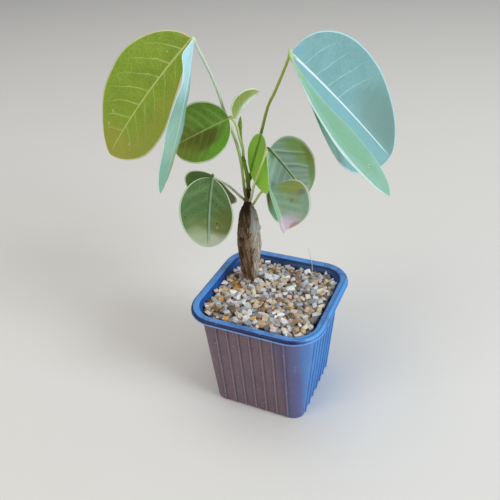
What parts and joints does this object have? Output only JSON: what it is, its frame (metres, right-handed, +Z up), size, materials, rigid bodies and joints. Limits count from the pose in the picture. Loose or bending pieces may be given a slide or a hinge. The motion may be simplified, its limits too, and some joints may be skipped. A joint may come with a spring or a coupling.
{
  "type": "potted senna caudex",
  "caption": "Potted young senna with a swollen spindle caudex and paired leaflets on long stalks, in a small square plastic pot topped with gravel.",
  "frame": {"origin": "centre of the pot's underside, on the surface that it stands on", "axes": "+Z up; the pot's sides square to X and Y; the side that faces the viewer most in the picture is -Y and the other one in view is +X"},
  "size_m": [0.12, 0.1352, 0.1939],
  "materials": {
    "pot": "mid blue moulded plastic, dusty and slightly worn",
    "potting_mix": "loose brown grit and bark",
    "gravel": "mixed beige, tan, white and grey angular gravel",
    "bark": "fissured grey-brown bark",
    "stem": "smooth green young stem",
    "stalk": "smooth yellow-green leaf stalk",
    "young_leaf": "bright green folded young leaf",
    "leaf_upper_bright": "yellow-green satin leaf face with pale veins",
    "leaf_under": "pale blue-green glaucous leaf face",
    "leaf_upper": "green to grey-green leaf face with pale margins"
  },
  "bodies": {
    "root": {"pot": "pot", "potting_mix": "potting_mix", "gravel_top_dressing": "gravel", "caudex": "bark", "stem": "stem", "leaf_1_stalk": "stalk", "leaf_2_stalk": "stalk", "leaf_3_stalk": "stalk", "leaf_4_stalk": "stalk", "leaf_5_stalk": "stalk", "leaf_6_stalk": "stalk", "young_leaf": "young_leaf", "leaf_1_leaflet_left": "leaf_upper_bright", "leaf_1_leaflet_right": "leaf_under", "leaf_2_leaflet_back": "leaf_under", "leaf_2_leaflet_front": "leaf_under", "leaf_3_leaflet_left": "leaf_upper", "leaf_3_leaflet_right": "leaf_upper", "leaf_4_leaflet_front": "leaf_upper", "leaf_4_leaflet_back": "leaf_upper", "leaf_5_leaflet_left": "leaf_upper", "leaf_5_leaflet_right": "leaf_upper", "leaf_6_leaflet_front": "leaf_upper", "leaf_6_leaflet_back": "leaf_upper"}
  },
  "joints": []
}
